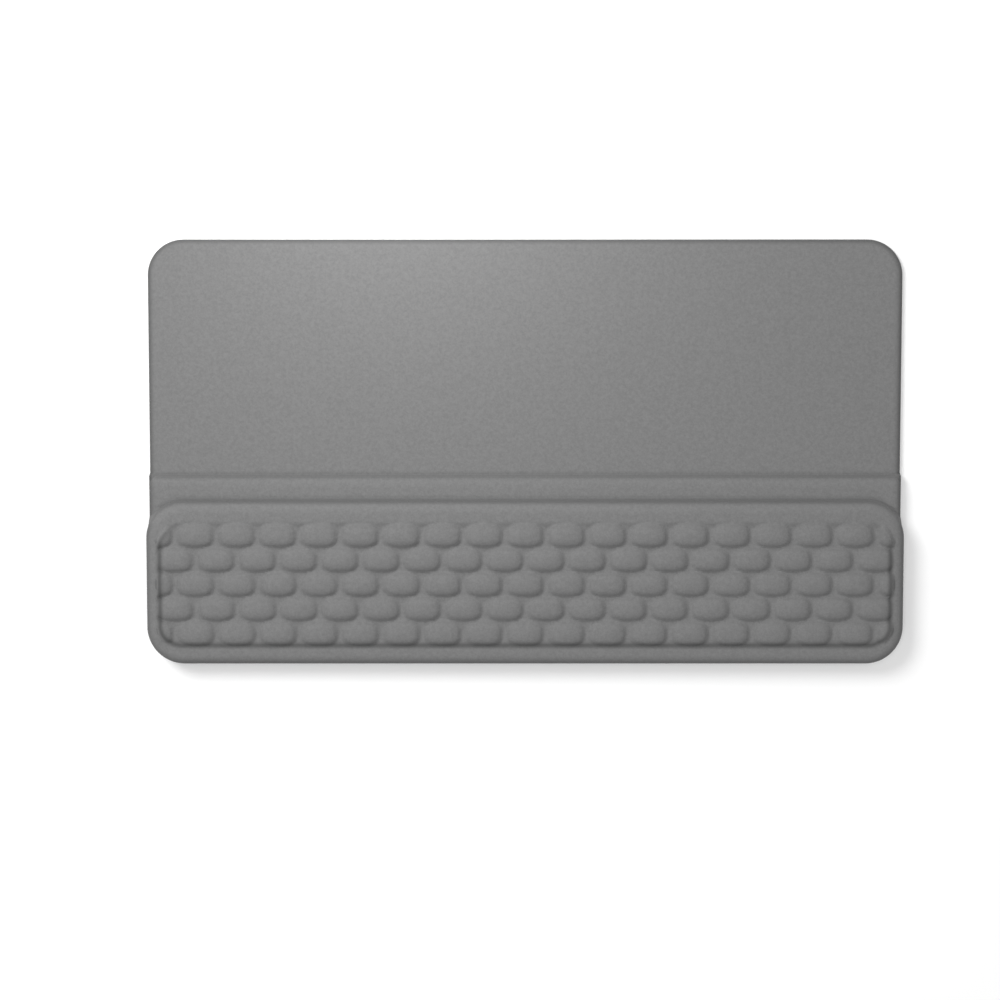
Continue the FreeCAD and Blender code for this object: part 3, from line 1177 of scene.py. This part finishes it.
class LampKind(Enum):
    """What kind of lamp a soft light is."""

    DISK = "AREA"
    SKY = "SUN"


@dataclass(frozen=True)
class SoftLight:
    """A soft light that faces a point on the desk.

    A disk's size is its diameter in metres and its power is in watts. A sky lamp's size is the
    angle in degrees that it fills, and its power is in watts per square metre.
    """

    name: str
    place: tuple[float, float, float]
    aim: tuple[float, float, float]
    size: float
    power: float
    kind: LampKind = LampKind.DISK


@dataclass(frozen=True)
class Studio:
    """A plain pale floor, soft lights and the camera almost straight above the pad."""

    aim: tuple[float, float, float] = (-0.01473, -0.02840, 0.005)
    distance: float = 1.5
    tilt: float = 5.03
    span: float = 0.58962
    fill: float = 0.34
    lights: tuple[SoftLight, ...] = (
        SoftLight("near_left", (-0.08, 0.22, 0.18), (-0.06, 0.18, 0.0), 0.12, 0.376),
        SoftLight("back_left", (-0.80, 0.80, 1.20), (-0.24, 0.24, 0.0), 0.80, 17.7),
        SoftLight("overhead", (0.0, 0.0, 1.20), (0.0, 0.0, 0.0), 40.0, 1.48, LampKind.SKY),
    )

    def build(self) -> None:
        """Make the floor, the lights and the camera."""
        self.floor()
        for light in self.lights:
            self.lamp(light)
        world = bpy.data.worlds.new("soft_fill")
        world.use_nodes = True
        world.node_tree.nodes["Background"].inputs["Strength"].default_value = self.fill
        world.node_tree.nodes["Background"].inputs["Color"].default_value = (1.0, 1.0, 1.0, 1.0)
        bpy.context.scene.world = world
        bpy.context.scene.view_settings.view_transform = "Standard"
        self.camera()

    def floor(self) -> None:
        """A wide pale floor at the pad's foot."""
        half = 4.0
        corners = np.array([(-half, -half, 0.0), (half, -half, 0.0), (half, half, 0.0), (-half, half, 0.0)])
        mesh = face_mesh("floor", corners, [(0, 1, 2, 3)])
        mat = bpy.data.materials.new("pale_floor")
        mat.use_nodes = True
        shader = mat.node_tree.nodes["Principled BSDF"]
        shader.inputs["Base Color"].default_value = (0.92, 0.92, 0.92, 1.0)
        shader.inputs["Roughness"].default_value = 0.9
        shader.inputs["Specular IOR Level"].default_value = 0.1
        mesh.materials.append(mat)
        floor = bpy.data.objects.new("floor", mesh)
        bpy.context.collection.objects.link(floor)

    def lamp(self, light: SoftLight) -> None:
        """Make one soft light.

        Args:
            light: what the lamp is like.
        """
        data = bpy.data.lights.new(light.name, light.kind.value)
        data.energy = light.power
        if light.kind is LampKind.DISK:
            data.shape = "DISK"
            data.size = light.size
        else:
            data.angle = math.radians(light.size)
        lamp = bpy.data.objects.new(light.name, data)
        lamp.location = light.place
        towards = Vector(light.aim) - Vector(light.place)
        lamp.rotation_euler = towards.to_track_quat("-Z", "Y").to_euler()
        bpy.context.collection.objects.link(lamp)

    def camera(self) -> None:
        """Set the camera over the pad, leaned a little towards its back."""
        data = bpy.data.cameras.new("camera")
        data.sensor_width = 36.0
        data.lens = 36.0 * self.distance / self.span
        data.clip_start, data.clip_end = 0.05, 20.0
        camera = bpy.data.objects.new("camera", data)
        lean = math.radians(self.tilt)
        away = Vector((0.0, math.sin(lean), math.cos(lean)))
        camera.location = Vector(self.aim) + self.distance * away
        camera.rotation_euler = (-lean, 0.0, 0.0)
        bpy.context.collection.objects.link(camera)
        bpy.context.scene.camera = camera


def main() -> None:
    """Build the pieces in order and report each."""
    logging.basicConfig(level=logging.INFO, format="%(name)s: %(message)s")
    Studio().build()
    bumps = BumpRule()
    grid = PadGrid(PadShape.from_frame(bumps.rise))
    InnerLayers().dress()
    rubber = BASE_RUBBER.material()
    base_maker = GripBase(grid)
    base = base_maker.build(rubber)
    base_maker.dress(base, rubber)
    cover_maker = FabricCover(grid, bumps)
    cover = cover_maker.build()
    cover_maker.dress(cover, BrushedKnit().material())
    for piece in (base, cover):
        LOG.info("%s has %d faces", piece.name, len(piece.data.polygons))


if __name__ == "__main__":
    main()
